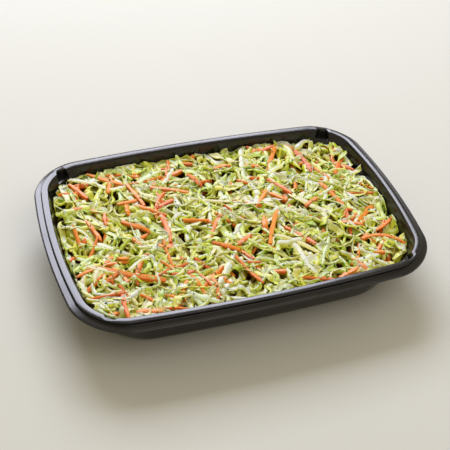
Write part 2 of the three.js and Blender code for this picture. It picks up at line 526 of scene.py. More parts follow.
def through_rings(name: str, rings: Sequence[np.ndarray]) -> bpy.types.Object:
    """Extrudes a disc from ring to ring, which leaves a closed skin with a cap at each end.

    Args:
        name: the piece's name.
        rings: points (n, 3) of each ring, all of one length and in the same order.

    Returns:
        The piece.
    """
    deselect()
    bpy.ops.mesh.primitive_circle_add(vertices=len(rings[0]), fill_type="NGON")
    piece = bpy.context.object
    piece.name = name
    bpy.ops.object.mode_set(mode="EDIT")
    bpy.ops.mesh.select_all(action="SELECT")
    tip = list(range(len(rings[0])))
    for number, ring in enumerate(rings):
        if number:
            bpy.ops.mesh.extrude_region_move()
        shape = bmesh.from_edit_mesh(piece.data)
        shape.verts.ensure_lookup_table()
        shape.verts.index_update()
        if number:
            tip = [
                next(
                    edge.other_vert(shape.verts[low]).index
                    for edge in shape.verts[low].link_edges
                    if edge.other_vert(shape.verts[low]).select
                )
                for low in tip
            ]
        for index, point in zip(tip, ring):
            shape.verts[index].co = point
        bmesh.update_edit_mesh(piece.data)
    bpy.ops.mesh.select_all(action="SELECT")
    bpy.ops.mesh.normals_make_consistent(inside=False)
    bpy.ops.object.mode_set(mode="OBJECT")
    return piece


def carry(mesh: bpy.types.Mesh, name: str, values: np.ndarray) -> None:
    """Stores one number for every vertex of a mesh."""
    layer = mesh.attributes.new(name, "FLOAT", "POINT")
    layer.data.foreach_set("value", values.astype(np.float32).ravel())


def finish_piece(
    piece: bpy.types.Object, material: bpy.types.Material, node: str, crease: float
) -> None:
    """Dresses a piece and puts it on the frame.

    Args:
        piece: the piece.
        material: what it wears.
        node: the frame's node that it stands for.
        crease: angle, in degrees, past which an edge stays sharp.
    """
    deselect()
    piece.select_set(True)
    bpy.context.view_layer.objects.active = piece
    bpy.ops.object.shade_smooth_by_angle(angle=math.radians(crease))
    piece.data.materials.clear()
    piece.data.materials.append(material)
    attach(piece, BODY)
    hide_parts(node)
    piece.data.calc_loop_triangles()
    LOG.info("%s: %d triangles", piece.name, len(piece.data.loop_triangles))


# Tray


@dataclass(frozen=True)
class Level:
    """One level of the tray: a bowed, rounded rectangle.

    `bow` is a share of the tray's full bow, and `pocket` is how far the stacking pockets go
    beyond their centres, or None at a level without them.
    """

    inset_x: float
    inset_y: float
    corner: float
    bow: float
    z: float
    pocket: float | None = None


@dataclass(frozen=True)
class TrayForm:
    """The tray's sizes, and the rings that they give.

    From the mouth outwards come the flat `band`, the `step` down, and the `flange` with its
    turned-down `lip`. The band's outer edge is the `brim` and its inner one the `shoulder`,
    and the lip ends in a `bead`. The `bow` fields say how far the sides swell outwards, and
    the `pocket` fields shape the four stacking pockets. Shares have no unit.
    """

    length: float = 290 * MM
    width: float = 200 * MM
    height: float = 44 * MM
    sheet: float = 1.2 * MM
    band: float = 5.2 * MM
    step: float = 3.1 * MM
    flange: float = 4.9 * MM
    lip: float = 2.2 * MM
    edge: float = 0.7 * MM
    mouth_edge: float = 0.6 * MM
    shoulder: float = 1.4 * MM
    shoulder_drop: float = 0.3 * MM
    brim: float = 0.8 * MM
    brim_drop: float = 0.12 * MM
    droop: float = 0.6 * MM
    bead: float = 0.35 * MM
    end_bow: float = 8.9 * MM
    side_bow: float = 5.6 * MM
    rim_corner: float = 34 * MM
    foot_length: float = 243 * MM
    foot_width: float = 156 * MM
    foot_corner: float = 38 * MM
    foot_bow: float = 0.6
    foot_fillet: float = 8 * MM
    pocket_x: float = 115 * MM
    pocket_y: float = 81.5 * MM
    pocket_turn: float = math.radians(23)
    pocket_half: float = 6.3 * MM
    pocket_reach: float = 3.0 * MM
    pocket_drop: float = 7.0 * MM
    skirt_share: float = 0.8
    bead_rise: float = 1.4
    mouth_wall: float = 3.0
    pocket_round: float = 9 * MM
    pocket_end: float = 1.2
    pocket_back: float = 8 * MM
    corner_steps: int = 72
    long_steps: int = 24
    short_steps: int = 16

    @property
    def mouth_inset(self) -> float:
        """From the flange's edge to the mouth."""
        return self.flange + self.band

    def halves(self, level: Level) -> np.ndarray:
        """Half sizes of a level, without its bow.

        Args:
            level: the level.

        Returns:
            Its half length and half width.
        """
        return np.array(
            [
                self.length / 2 - level.inset_x - self.end_bow * level.bow,
                self.width / 2 - level.inset_y - self.side_bow * level.bow,
            ]
        )

    def ring(self, level: Level) -> np.ndarray:
        """The points round a level.

        Args:
            level: the level.

        Returns:
            Points (n, 3), as many for every level.
        """
        half = self.halves(level)
        signs = np.array([(1, 1), (-1, 1), (-1, -1), (1, -1)])
        arcs = []
        for quarter, sign in enumerate(signs):
            turn = (quarter + np.linspace(0, 1, self.corner_steps + 1)) * math.pi / 2
            around = np.stack([np.cos(turn), np.sin(turn)], 1)
            arcs.append(sign * (half - level.corner) + level.corner * around)
        rows = []
        for quarter, arc in enumerate(arcs):
            steps = self.short_steps if quarter % 2 else self.long_steps
            share = np.arange(1, steps)[:, None] / steps
            rows += [arc, arc[-1] + share * (arcs[(quarter + 1) % 4][0] - arc[-1])]
        flat = np.concatenate(rows)
        share = flat / half
        bow = np.array([self.end_bow, self.side_bow]) * level.bow
        flat = flat + np.sign(flat) * bow * share**2 * (1 - share[:, ::-1] ** 2)
        if level.pocket is not None:
            flat = self._pocketed(flat, level.pocket)
        return np.column_stack([flat, np.full(len(flat), level.z)])

    def _pocketed(self, flat: np.ndarray, reach: float) -> np.ndarray:
        """Pushes a ring outwards round the four pockets.

        Args:
            flat: the ring's points (n, 2).
            reach: how far the pocket goes beyond its centre.

        Returns:
            The pushed points.
        """
        flat = flat.copy()
        for sign_x in (-1, 1):
            for sign_y in (-1, 1):
                turn = -sign_x * sign_y * self.pocket_turn
                along = np.array([math.cos(turn), math.sin(turn)])
                out = sign_y * np.array([-math.sin(turn), math.cos(turn)])
                local = flat - (sign_x * self.pocket_x, sign_y * self.pocket_y)
                share = np.abs(local @ along) / (self.pocket_half + reach - self.pocket_reach)
                face = reach - self.pocket_round * share**4
                push = np.maximum(face - local @ out, 0)
                push[(share > self.pocket_end) | (local @ out < -self.pocket_back)] = 0
                flat += push[:, None] * out
        return flat

    def wall(self, z: float, grow: float = 0.0, pocket: float | None = None) -> Level:
        """The inner face of the wall at a height.

        Args:
            z: the height.
            grow: how far the level is moved outwards.
            pocket: how far the pockets go beyond their centres, if the level has them.

        Returns:
            The level.
        """
        share = 1 - z / self.height
        foot_x = (self.length - self.foot_length) / 2 + self.sheet
        foot_y = (self.width - self.foot_width) / 2 + self.sheet
        mouth = self.mouth_inset
        mouth_corner = self.rim_corner - mouth
        return Level(
            mouth + (foot_x - mouth) * share - grow,
            mouth + (foot_y - mouth) * share - grow,
            mouth_corner + (self.foot_corner - mouth_corner) * share + grow,
            1 + (self.foot_bow - 1) * share,
            z,
            pocket,
        )

    def fillet(self, grow: float, steps: int = 9) -> list[Level]:
        """Levels round the foot's fillet, from the flat base up.

        Args:
            grow: how far the wall's inner face is moved outwards.
            steps: levels, the wall's own first level among them.

        Returns:
            The levels below the wall's own.
        """
        radius = self.foot_fillet - self.sheet + grow
        levels = []
        for turn in np.linspace(math.pi / 2, 0, steps)[:-1]:
            run = radius * (1 - math.cos(turn))
            level = self.wall(self.foot_fillet - radius * math.sin(turn), grow)
            x, y, corner = level.inset_x + run, level.inset_y + run, level.corner - run
            levels.append(replace(level, inset_x=x, inset_y=y, corner=corner))
        return levels

    def rim(self, inset: float, z: float, pocket: float | None = None) -> Level:
        """A level that runs parallel to the flange's edge."""
        return Level(inset, inset, self.rim_corner - inset, 1.0, z, pocket)

    def outside(self, places: np.ndarray, z: np.ndarray, margin: float) -> tuple[Any, Any]:
        """How far points lie outside the inner wall.

        Args:
            places: points (..., 2).
            z: their heights (...).
            margin: how far inside the wall they have to stay.

        Returns:
            The distance, negative inside, and the outward direction.
        """
        share = 1 - z / self.height
        wall = self.wall(0.0)
        mouth = self.wall(self.height)
        bow_share = mouth.bow + (wall.bow - mouth.bow) * share
        bow = np.stack([self.end_bow * bow_share, self.side_bow * bow_share], -1)
        low, high = self.halves(wall), self.halves(mouth)
        half = high + (low - high) * share[..., None]
        corner = mouth.corner + (wall.corner - mouth.corner) * share
        ratio = np.clip(places / half, -1, 1)
        straight = places - np.sign(places) * bow * ratio**2 * (1 - ratio[..., ::-1] ** 2)
        beyond = np.abs(straight) - (half - corner[..., None])
        diagonal = np.maximum(beyond, 0)
        reach = np.linalg.norm(diagonal, axis=-1)
        flat = np.minimum(beyond.max(-1), 0)
        nearest = np.where(beyond.max(-1, keepdims=True) == beyond, 1.0, 0.0)
        way = np.where(reach[..., None] > 0, diagonal, nearest) * np.sign(places)
        return reach + flat - corner + margin, unit(way)


@dataclass
class Tray:
    """The moulded tray."""

    form: TrayForm
    finish: MouldedPlastic = field(default_factory=MouldedPlastic)
    round_steps: int = 5
    wall_steps: int = 6
    crease: float = 35.0

    def _round(self, start: Level, end: Level, bulge_up: bool) -> list[Level]:
        """Levels round a quarter circle between two rim levels.

        Args:
            start: the first level.
            end: the last level.
            bulge_up: whether height changes first, as on the way up to an edge.

        Returns:
            The levels, both ends among them.
        """
        levels = []
        for turn in np.linspace(0, math.pi / 2, self.round_steps + 1):
            rise, run = math.sin(turn), 1 - math.cos(turn)
            if not bulge_up:
                rise, run = run, rise
            inset = start.inset_x + (end.inset_x - start.inset_x) * run
            pocket = None
            if start.pocket is not None and end.pocket is not None:
                pocket = start.pocket + (end.pocket - start.pocket) * run
            level = self.form.rim(inset, start.z + (end.z - start.z) * rise, pocket)
            levels.append(level)
        return levels

    def _walls(self, low: float, high: float, grow: float, pocket: float | None) -> list[Level]:
        """Levels up a stretch of wall."""
        heights = np.linspace(low, high, self.wall_steps + 1)
        return [self.form.wall(float(z), grow, pocket) for z in heights]

    def levels(self) -> list[Level]:
        """Every level, from the base outside, over the rim, to the floor inside.

        Returns:
            The levels.
        """
        form = self.form
        edge, sheet, top = form.edge, form.sheet, form.height
        shelf = top - form.step
        under = top - sheet
        floor = top - form.pocket_drop
        skirt = form.pocket_reach + form.skirt_share * sheet
        mouth = form.mouth_inset
        soft = form.mouth_edge
        reach = form.pocket_reach
        outside = [
            *form.fillet(sheet),
            *self._walls(form.foot_fillet, floor - sheet, sheet, None),
            *self._walls(floor - sheet, under, sheet, skirt),
            form.rim(form.flange + sheet, under),
            form.rim(form.flange + sheet, shelf - sheet),
            form.rim(sheet, shelf - sheet),
            form.rim(sheet, shelf - form.lip),
        ]
        bead, brow = form.bead, shelf - form.droop
        flange = [
            form.rim(0.0, shelf - form.lip),
            form.rim(0.0, shelf - form.lip + bead / 2),
            form.rim(bead / 2, shelf - form.lip + bead),
            form.rim(bead, shelf - form.lip + form.bead_rise * bead),
            *self._round(form.rim(bead, brow - edge), form.rim(edge + bead, brow), True),
            *self._round(
                form.rim(form.flange - edge / 2, shelf),
                form.rim(form.flange, shelf + edge / 2),
                False,
            ),
        ]
        band = [
            *self._round(
                form.rim(form.flange, top - form.brim_drop - edge),
                form.rim(form.flange + edge, top - form.brim_drop),
                True,
            ),
            form.rim(form.flange + edge + form.brim, top),
            form.rim(mouth - soft - form.shoulder, top, reach + soft + form.shoulder),
            *self._round(
                form.rim(mouth - soft, top - form.shoulder_drop, reach + soft),
                form.rim(mouth, top - form.shoulder_drop - soft, reach),
                False,
            ),
        ]
        inside = [
            *self._walls(floor, top - form.mouth_wall * soft, 0.0, reach)[::-1],
            *self._walls(form.foot_fillet, floor, 0.0, None)[::-1],
            *form.fillet(0.0)[::-1],
        ]
        return outside + flange + band + inside

    def build(self) -> bpy.types.Object:
        """Builds and dresses the tray.

        Returns:
            Its skin.
        """
        piece = through_rings("tray_skin", [self.form.ring(level) for level in self.levels()])
        finish_piece(piece, self.finish.material(), "tray", self.crease)
        return piece


# Coleslaw


class Section(Enum):
    """Cross-sections of a cut: points round it, in half widths and half thicknesses."""

    LEAF = ((-1.0, 0.0), (0.0, 1.0), (1.0, 0.0), (0.0, -1.0))
    RIBBON = ((-1.0, 0.0), (-0.4, 1.0), (0.4, 1.0), (1.0, 0.0), (0.4, -1.0), (-0.4, -1.0))
    FRILL = (
        (-1.0, 0.0), (-0.5, 1.0), (0.0, 0.4), (0.5, 1.0),
        (1.0, 0.0), (0.5, -1.0), (0.0, -1.6), (-0.5, -1.0),
    )
    STICK = (
        (-1.0, -0.55), (-1.0, 0.55), (-0.6, 1.0), (0.6, 1.0),
        (1.0, 0.55), (1.0, -0.55), (0.6, -1.0), (-0.6, -1.0),
    )

    def points(self) -> np.ndarray:
        """Its points (around, 2), in the order that makes faces look outwards."""
        return np.array(self.value)[::-1]


@dataclass(frozen=True)
class Cut:
    """One way that a vegetable is cut, with the ranges that its pieces vary over.

    Lengths are in millimetres and angles in radians. `spring` is how far a piece keeps its own
    shape: 0 sags onto all that lies below it, and 1 bridges it. `last` is the share of the
    filling by which the cut is all in the tray, and `veil` the number of extra, thinner pieces
    that go on at the very end. `arch` and `curl` lift a piece's middle and its ends, and
    `wave`, `ripple` and `cup` make it uneven along its length, at its edges and across.
    """

    name: str
    slot: str
    section: Section
    finish: DressedVegetable
    count: int
    segments: int
    length: Range = (0.0, 0.0)
    width: Range = (0.0, 0.0)
    thickness: Range = (0.0, 0.0)
    tone: Range = (0.0, 1.0)
    film: Range = (0.0, 1.0)
    taper: Range = (0.0, 0.0)
    spring: Range = (0.0, 0.0)
    last: float = 1.0
    veil: int = 0
    bend: float = 0.0
    swing: float = 0.0
    arch: float = 0.0
    curl: float = 0.0
    roll: float = 0.0
    twist: float = 0.0
    ripple: float = 0.0
    wave: float = 0.0
    cup: float = 0.0
    crease: float = 80.0


CUTS: tuple[Cut, ...] = (
    Cut(
        "cabbage_inner", "cabbage", Section.RIBBON, CABBAGE, count=540, segments=20, veil=45,
        length=(20, 60), width=(2.8, 6.8), thickness=(1.3, 2.2), tone=(0.1, 0.6),
        film=(0.1, 0.9), taper=(0.2, 0.95), spring=(0.2, 0.9), bend=2.8, swing=0.5,
        arch=2.4, curl=2.4, roll=0.5, twist=0.6, ripple=0.45, wave=0.6, cup=0.35,
    ),
    Cut(
        "cabbage_outer", "cabbage", Section.LEAF, CABBAGE, count=520, segments=22, veil=45,
        length=(16, 50), width=(2.2, 6.0), thickness=(1.0, 1.6), tone=(0.25, 0.95),
        film=(0.0, 0.7), taper=(0.3, 0.97), spring=(0.1, 0.8), bend=3.4, swing=0.65,
        arch=2.6, curl=2.8, roll=0.6, twist=0.8, ripple=0.5, wave=0.7, cup=0.4,
    ),
    Cut(
        "cabbage_leaf", "cabbage", Section.FRILL, CABBAGE, count=190, segments=16,
        length=(17, 38), width=(5.4, 10.5), thickness=(0.8, 1.2), tone=(0.1, 0.8),
        film=(0.1, 0.9), taper=(0.2, 0.9), spring=(0.05, 0.55), bend=1.8, swing=0.35,
        arch=2.0, curl=1.8, roll=0.5, twist=0.8, ripple=0.8, wave=0.6, cup=0.25,
    ),
    Cut(
        "cabbage_rib", "cabbage", Section.RIBBON, CABBAGE, count=130, segments=14,
        length=(20, 44), width=(3.6, 6.6), thickness=(1.6, 2.8), tone=(0.0, 0.25),
        film=(0.3, 1.0), taper=(0.25, 0.85), spring=(0.7, 1.0), bend=0.8, swing=0.12,
        arch=0.8, curl=0.8, roll=0.35, twist=0.25, ripple=0.1, wave=0.2, cup=0.15,
    ),
    Cut(
        "carrot_strips", "carrot", Section.STICK, CARROT, count=270, segments=10,
        length=(12, 36), width=(2.4, 4.4), thickness=(1.8, 3.3), tone=(0.15, 0.9),
        film=(0.1, 1.0), taper=(0.1, 0.8), spring=(1.0, 1.0), last=0.86, bend=0.6,
        swing=0.04, arch=0.4, curl=0.3, roll=0.5, twist=0.12, crease=38.0,
    ),
)


@dataclass(frozen=True)
class Placed:
    """One piece that is laid at a chosen place on top of the heap.

    Sizes are in millimetres and degrees: centre, heading, length, width, and the sideways
    swell of its bend. `tone` picks its colour and `film` its dressing, and `lift` is how far
    its leading end stands up.
    """

    x: float
    y: float
    heading: float
    length: float
    width: float
    swell: float = 0.0
    tone: float = 0.4
    film: float = 0.4
    lift: float = 0.0


CARROTS_ON_TOP: tuple[Placed, ...] = (
    Placed(-89, -39, -29, 51, 3.9, -1.6, 0.6, 0.75),
    Placed(48, -28, -64, 36, 3.3, 0.5, 0.5, 0.3),
    Placed(31, -17, 61, 41, 3.0, 0.8, 0.1, 1.0),
    Placed(42, 23, -50, 35, 3.3, 0.3, 0.2, 0.7),
    Placed(55, 27, -59, 28, 3.2, 0.2, 0.5, 0.4),
    Placed(86, 60, -80, 42, 3.5, 4.0, 0.75, 0.2),
    Placed(111, -52, -23, 37, 3.0, 6.0, 0.35, 0.3),
    Placed(93, -50, 44, 18, 3.0, 0.3, 0.55, 0.3),
    Placed(110, -20, 39, 27, 3.4, 0.2, 0.5, 0.2),
    Placed(94, -29, -30, 19, 3.2, 0.2, 0.3, 0.6),
    Placed(95, -63, -22, 20, 3.2, 0.1, 0.1, 0.8),
    Placed(68, -80, 18, 20, 3.4, 0.2, 0.3, 0.6),
    Placed(-35, 47, -21, 31, 3.0, 0.5, 0.3, 0.5),
    Placed(-63, 47, -77, 31, 2.8, 0.5, 0.3, 0.7),
    Placed(-11, 55, -74, 22, 3.0, 0.4, 0.5, 0.3),
    Placed(-29, 64, 20, 24, 3.1, 0.5, 0.4, 0.4),
    Placed(-18, 83, -26, 26, 2.8, 0.2, 0.6, 0.3),
    Placed(62, 78, 19, 21, 3.0, 0.2, 0.5, 0.4),
    Placed(62, 66, 58, 36, 3.0, 0.4, 0.55, 0.3),
    Placed(118, 44, 51, 32, 3.2, 0.5, 0.3, 0.6),
    Placed(-80, 65, 69, 20, 3.0, 0.2, 0.2, 0.9),
    Placed(-106, 63, -62, 22, 3.2, 0.2, 0.3, 0.8),
    Placed(-114, 62, -10, 17, 3.4, 0.2, 0.1, 1.0),
    Placed(-105, 15, -74, 25, 2.8, 0.4, 0.35, 0.6),
    Placed(-73, 12, -37, 22, 3.2, 0.3, 0.6, 0.3),
    Placed(-43, 31, 23, 18, 3.0, 0.2, 0.7, 0.3),
    Placed(-25, 6, -14, 21, 3.0, 0.2, 0.4, 0.4),
    Placed(-13, -4, 54, 27, 3.0, 0.3, 0.5, 0.3),
    Placed(-12, -28, -36, 22, 3.2, 0.3, 0.3, 0.5),
    Placed(-31, -56, 40, 28, 4.0, 0.3, 0.45, 0.3),
    Placed(-103, -38, 32, 15, 2.8, 0.8, 0.2, 0.2),
    Placed(13, -63, -18, 20, 3.2, 0.2, 0.5, 0.3),
    Placed(72, 3, 27, 15, 3.0, 0.2, 0.4, 0.3),
)

RIBS_ON_TOP: tuple[Placed, ...] = (
    Placed(29, 15, -7, 44, 4.8, -0.6, 0.12, 0.95),
    Placed(-4, 24, -20, 46, 2.6, -1.5, 0.2, 0.8),
    Placed(-51, -74, -67, 18, 3.8, 0.3, 0.05, 0.9),
    Placed(-95, -61, 33, 21, 4.0, 0.4, 0.0, 1.0),
    Placed(-98, 72, -30, 34, 3.6, 0.5, 0.05, 1.0),
    Placed(126, 33, 31, 16, 4.0, 0.3, 0.0, 1.0),
    Placed(121, 19, 14, 12, 4.0, 0.2, 0.0, 0.9),
    Placed(95, -3, 6, 22, 3.4, 1.0, 0.1, 0.8),
    Placed(-117, 17, -43, 27, 2.6, 5.0, 0.1, 0.8),
    Placed(2, 13, 3, 20, 3.6, 0.4, 0.2, 0.7),
)

LEAVES_ON_TOP: tuple[Placed, ...] = (
    Placed(-60, -58, 0, 19, 6.4, 0.6, 0.2, 0.9),
    Placed(7, 44, 35, 18, 5.4, 0.4, 0.35, 0.5),
    Placed(-23, 25, -76, 24, 6.0, 0.8, 0.45, 0.4),
    Placed(60, 44, 17, 20, 5.4, 0.3, 0.25, 0.8),
    Placed(37, -36, -5, 22, 7.4, 0.5, 0.3, 0.7),
    Placed(113, -54, 17, 14, 6.2, 0.3, 0.3, 0.6),
    Placed(116, -67, -102, 20, 7.2, 0.5, 0.25, 0.8),
    Placed(120, 72, -51, 21, 6.0, 0.8, 0.7, 0.1),
    Placed(-104, -73, 4, 16, 6.4, 0.4, 0.3, 0.8),
    Placed(-71, -19, 31, 18, 5.4, 0.6, 0.35, 0.5),
    Placed(42, -65, 10, 20, 6.0, 0.5, 0.3, 0.6),
    Placed(88, -69, 5, 21, 5.4, 0.4, 0.4, 0.4),
    Placed(72, 11, 16, 18, 5.0, 0.4, 0.4, 0.5),
    Placed(-90, 69, -49, 20, 4.4, 0.4, 0.3, 0.7),
)

TIPS_ON_TOP: tuple[Placed, ...] = (
    Placed(-66, 70, 84, 18, 3.4, 0.5, 0.3, 0.7, 3.6),
    Placed(-41, 78, 128, 19, 4.6, 0.8, 0.6, 0.2, 3.0),
    Placed(4, 74, 72, 17, 3.6, -0.5, 0.3, 0.6, 3.3),
    Placed(71, 74, 92, 17, 3.0, 0.4, 0.45, 0.5, 3.3),
    Placed(99, 68, 66, 17, 4.0, 0.6, 0.3, 0.8, 3.0),
    Placed(122, 52, 38, 18, 3.0, 0.5, 0.6, 0.3, 2.8),
    Placed(124, 30, 22, 16, 4.8, 0.6, 0.15, 1.0, 2.8),
    Placed(120, 14, 48, 15, 3.6, 0.4, 0.25, 0.9, 2.5),
    Placed(124, -8, 62, 17, 3.2, -0.5, 0.3, 0.8, 2.5),
    Placed(-90, 69, 76, 16, 3.0, 0.4, 0.5, 0.4, 2.8),
    Placed(44, 76, 55, 17, 3.6, 0.5, 0.4, 0.5, 2.8),
    Placed(116, 62, 78, 15, 3.0, 0.3, 0.5, 0.4, 2.8),
    Placed(121, -42, 40, 15, 3.4, 0.3, 0.3, 0.8, 2.2),
    Placed(-112, 60, 104, 14, 2.8, 0.3, 0.4, 0.6, 2.5),
    Placed(-16, 77, 98, 16, 3.0, -0.4, 0.35, 0.6, 2.8),
    Placed(-113, 28, 140, 15, 3.2, 0.4, 0.3, 0.7, 2.5),
    Placed(24, 72, 100, 15, 2.8, 0.4, 0.5, 0.4, 3.3),
    Placed(121, -66, 60, 18, 4.6, 0.6, 0.25, 0.8, 1.0),
    Placed(117, -71, 15, 17, 4.4, 0.4, 0.35, 0.7, 1.0),
    Placed(125, -60, 80, 16, 4.2, 0.4, 0.45, 0.5, 1.0),
    Placed(120, -68, -60, 15, 4.0, 0.5, 0.3, 0.8, 1.5),
    Placed(122, -67, 30, 16, 4.2, -0.5, 0.2, 0.9, 1.5),
)

ON_TOP: dict[str, tuple[Placed, ...]] = {
    "cabbage_rib": RIBS_ON_TOP,
    "cabbage_leaf": LEAVES_ON_TOP,
    "carrot_strips": CARROTS_ON_TOP,
    "cabbage_outer": TIPS_ON_TOP,
}


@dataclass
class Heap:
    """The growing top of the salad, as heights on a square grid.

    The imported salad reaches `edge_level` at the wall and `mound` more in the middle, and the
    first pieces lie `sunk` below that, and higher by about `climb` at the wall, most at the
    near left corner. Waves and ridges are in millimetres.
    """

    form: TrayForm
    edge_level: float = 29.6 * MM
    mound: float = 3.4 * MM
    ceiling: float = 37.8 * MM
    sunk: float = 17.5 * MM
    cell: float = 0.6 * MM
    # Depth below the heap's smoothed top at which the painted shade is full.
    painted_shade_depth: float = 4.5 * MM
    blur: int = 12
    climb: float = 4.0 * MM
    climb_slant: float = 1.4 * MM
    climb_reach: float = 7 * MM
    wave_lengths: Range = (9.0, 7.5)
    wave_phases: Range = (0.7, -0.4)
    wave_height: float = 0.9
    ridge_length: float = 13.0
    ridge_phase: float = 2.0
    ridge_height: float = 0.54
    heights: np.ndarray = field(init=False)

    def __post_init__(self) -> None:
        """Starts with the core's top, raised along the wall."""
        columns = int(self.form.length / self.cell) + 1
        rows = int(self.form.width / self.cell) + 1
        x = (np.arange(columns) + 0.5) * self.cell - self.form.length / 2
        y = (np.arange(rows) + 0.5) * self.cell - self.form.width / 2
        grid = np.stack(np.meshgrid(x, y, indexing="ij"), -1)
        level = np.full(grid.shape[:2], self.edge_level)
        distance, _ = self.form.outside(grid, level, 0.0)
        slant = grid[..., 0] / self.form.length + grid[..., 1] / self.form.width
        climb = (self.climb - self.climb_slant * slant) * np.exp(distance / self.climb_reach)
        self.heights = self.packed(grid) - self.sunk + np.minimum(climb, 2 * self.climb)

    def packed(self, places: np.ndarray) -> np.ndarray:
        """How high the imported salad's top is.

        Args:
            places: where (..., 2).

        Returns:
            Heights (...).
        """
        x, y = places[..., 0] / MM, places[..., 1] / MM
        across = x * MM / (self.form.length / 2)
        along = y * MM / (self.form.width / 2)
        rise = self.mound * (1 - across**4) * (1 - along**4)
        turns = [v / w + p for v, w, p in zip((x, y), self.wave_lengths, self.wave_phases)]
        waves = np.sin(turns[0]) * np.cos(turns[1]) * self.wave_height
        ridges = self.ridge_height * np.sin((x - y) / self.ridge_length + self.ridge_phase)
        return self.edge_level + rise + (waves + ridges) * MM

    def index(self, places: np.ndarray) -> tuple[np.ndarray, np.ndarray]:
        """Grid cells that hold places.

        Args:
            places: where (..., 2).

        Returns:
            The cells' columns and rows.
        """
        start = np.array([self.form.length, self.form.width]) / 2
        cells = ((places + start) / self.cell).astype(int)
        columns, rows = self.heights.shape
        return cells[..., 0].clip(0, columns - 1), cells[..., 1].clip(0, rows - 1)

    def at(self, places: np.ndarray) -> np.ndarray:
        """Heights of the heap's top at places (..., 2)."""
        return self.heights[self.index(places)]

    def depth(self, points: np.ndarray) -> np.ndarray:
        """How deep points lie in the finished heap, which sets how much painted shade they get.

        Args:
            points: the points (..., 3).

        Returns:
            0 at the heap's smoothed top or above it, and 1 at the depth of full painted shade below
            it or deeper.
        """
        level = self.heights.copy()
        for _ in range(self.blur):
            level[1:-1] = (level[:-2] + 2 * level[1:-1] + level[2:]) / 4
            level[:, 1:-1] = (level[:, :-2] + 2 * level[:, 1:-1] + level[:, 2:]) / 4
        below = level[self.index(points[..., :2])] - points[..., 2]
        return np.clip(below / self.painted_shade_depth, 0, 1)

    def cover(self, places: np.ndarray, tops: np.ndarray) -> None:
        """Raises the heap to these tops where they are higher."""
        np.maximum.at(self.heights, self.index(places), tops)


def drape(ground: np.ndarray, stiffness: int) -> np.ndarray:
    """A limp strip's height over the ground, which it touches and never enters.

    Args:
        ground: heights along the strip.
        stiffness: how many times the strip pulls itself straight.

    Returns:
        The strip's heights.
    """
    level = ground.copy()
    for _ in range(stiffness):
        pulled = level.copy()
        pulled[1:-1] = (level[:-2] + 2 * level[1:-1] + level[2:]) / 4
        pulled[0] = (level[0] + level[1]) / 2
        pulled[-1] = (level[-1] + level[-2]) / 2
        level = np.maximum(ground, pulled)
    return level


def lean(ground: np.ndarray, steepest: float) -> np.ndarray:
    """A stiff stick's height over the ground, resting on two points either side of its middle.

    Args:
        ground: heights along the stick, evenly spaced.
        steepest: the most that it may rise from its middle to an end, in metres.

    Returns:
        The stick's heights.
    """
    place = np.linspace(-1, 1, len(ground))
    left, right = place[place < 0], place[place >= 0]
    low, high = ground[place < 0][:, None], ground[place >= 0][None, :]
    gap = right[None, :] - left[:, None]
    middle = (low * right[None, :] - high * left[:, None]) / gap
    best = np.unravel_index(middle.argmax(), middle.shape)
    slope = ((high - low) / gap)[best]
    slope = float(np.clip(slope, -steepest, steepest))
    line = slope * place
    return line + (ground - line).max()


# What every vertex of a strip carries, beside its depth and the way that it faces, which set its
# painted shade and its painted highlight.
NUMBERS = ("tone", "film", "rim", "along", "across", "tag")
# Steps that spread points evenly over a square, as shares of its sides.
EVEN_STEPS = (0.7548776662, 0.5698402910)
# An arc turns by this many radians times its middle's swell over its length.
TURN_PER_SWELL = 8.0


@dataclass
class Batch:
    """Pieces of one cut, waiting to be laid: a path, sizes and colours for each of them."""

    cut: Cut
    paths: np.ndarray
    width: np.ndarray
    thickness: np.ndarray
    spring: np.ndarray
    tone: np.ndarray
    film: np.ndarray
    lift: np.ndarray


@dataclass(frozen=True)
class Manner:
    """How any piece is uneven, whatever its cut.

    Ranges are drawn from evenly, and a `spread` is that of a normal draw. Waves are in radians
    per half length and crests in millimetres. A `power` is an exponent, as `short_favour` is,
    which makes short pieces commoner than long ones.
    """

    short_favour: float = 1.4
    cycles: Range = (0.8, 2.2)
    hook_spread: float = 1.2
    taper_power: Range = (2.0, 8.0)
    least_taper: float = 0.4
    lump: float = 0.14
    lump_waves: Range = (4.0, 9.0)
    nick: float = 0.05
    nick_waves: Range = (12.0, 22.0)
    crest: Range = (11.0, 22.0)
    wring: float = 0.25
    wring_waves: float = 3.5
    rise_mean: float = 0.2
    rise_spread: float = 0.7
    ripple_pace: float = 1.4
    ripple_lag: float = 1.8
    thin_end: float = 0.35
    cup_level: float = 0.4
    slant_spread: float = 0.6
    slant_power: int = 9
    tone_spread: float = 0.16
    rim_power: float = 1.5


@dataclass(frozen=True)
class Herbs:
    """Chopped herb: how many flecks are scattered, and how they vary.

    `faces` are the heights of a fleck's two sides above the heap, and `bevel` is how much
    smaller the upper one is.
    """

    count: int = 760
    corners: int = 6
    smallest: float = 0.6 * MM
    growth: float = 1.1 * MM
    rarity: int = 3
    ragged: Range = (0.55, 1.2)
    narrow: Range = (0.5, 1.0)
    faces: Range = (0.1 * MM, 0.4 * MM)
    bevel: float = 0.3
    steepest: float = 0.9
    wall_gap: float = 1.5 * MM
    crease: float = 60.0


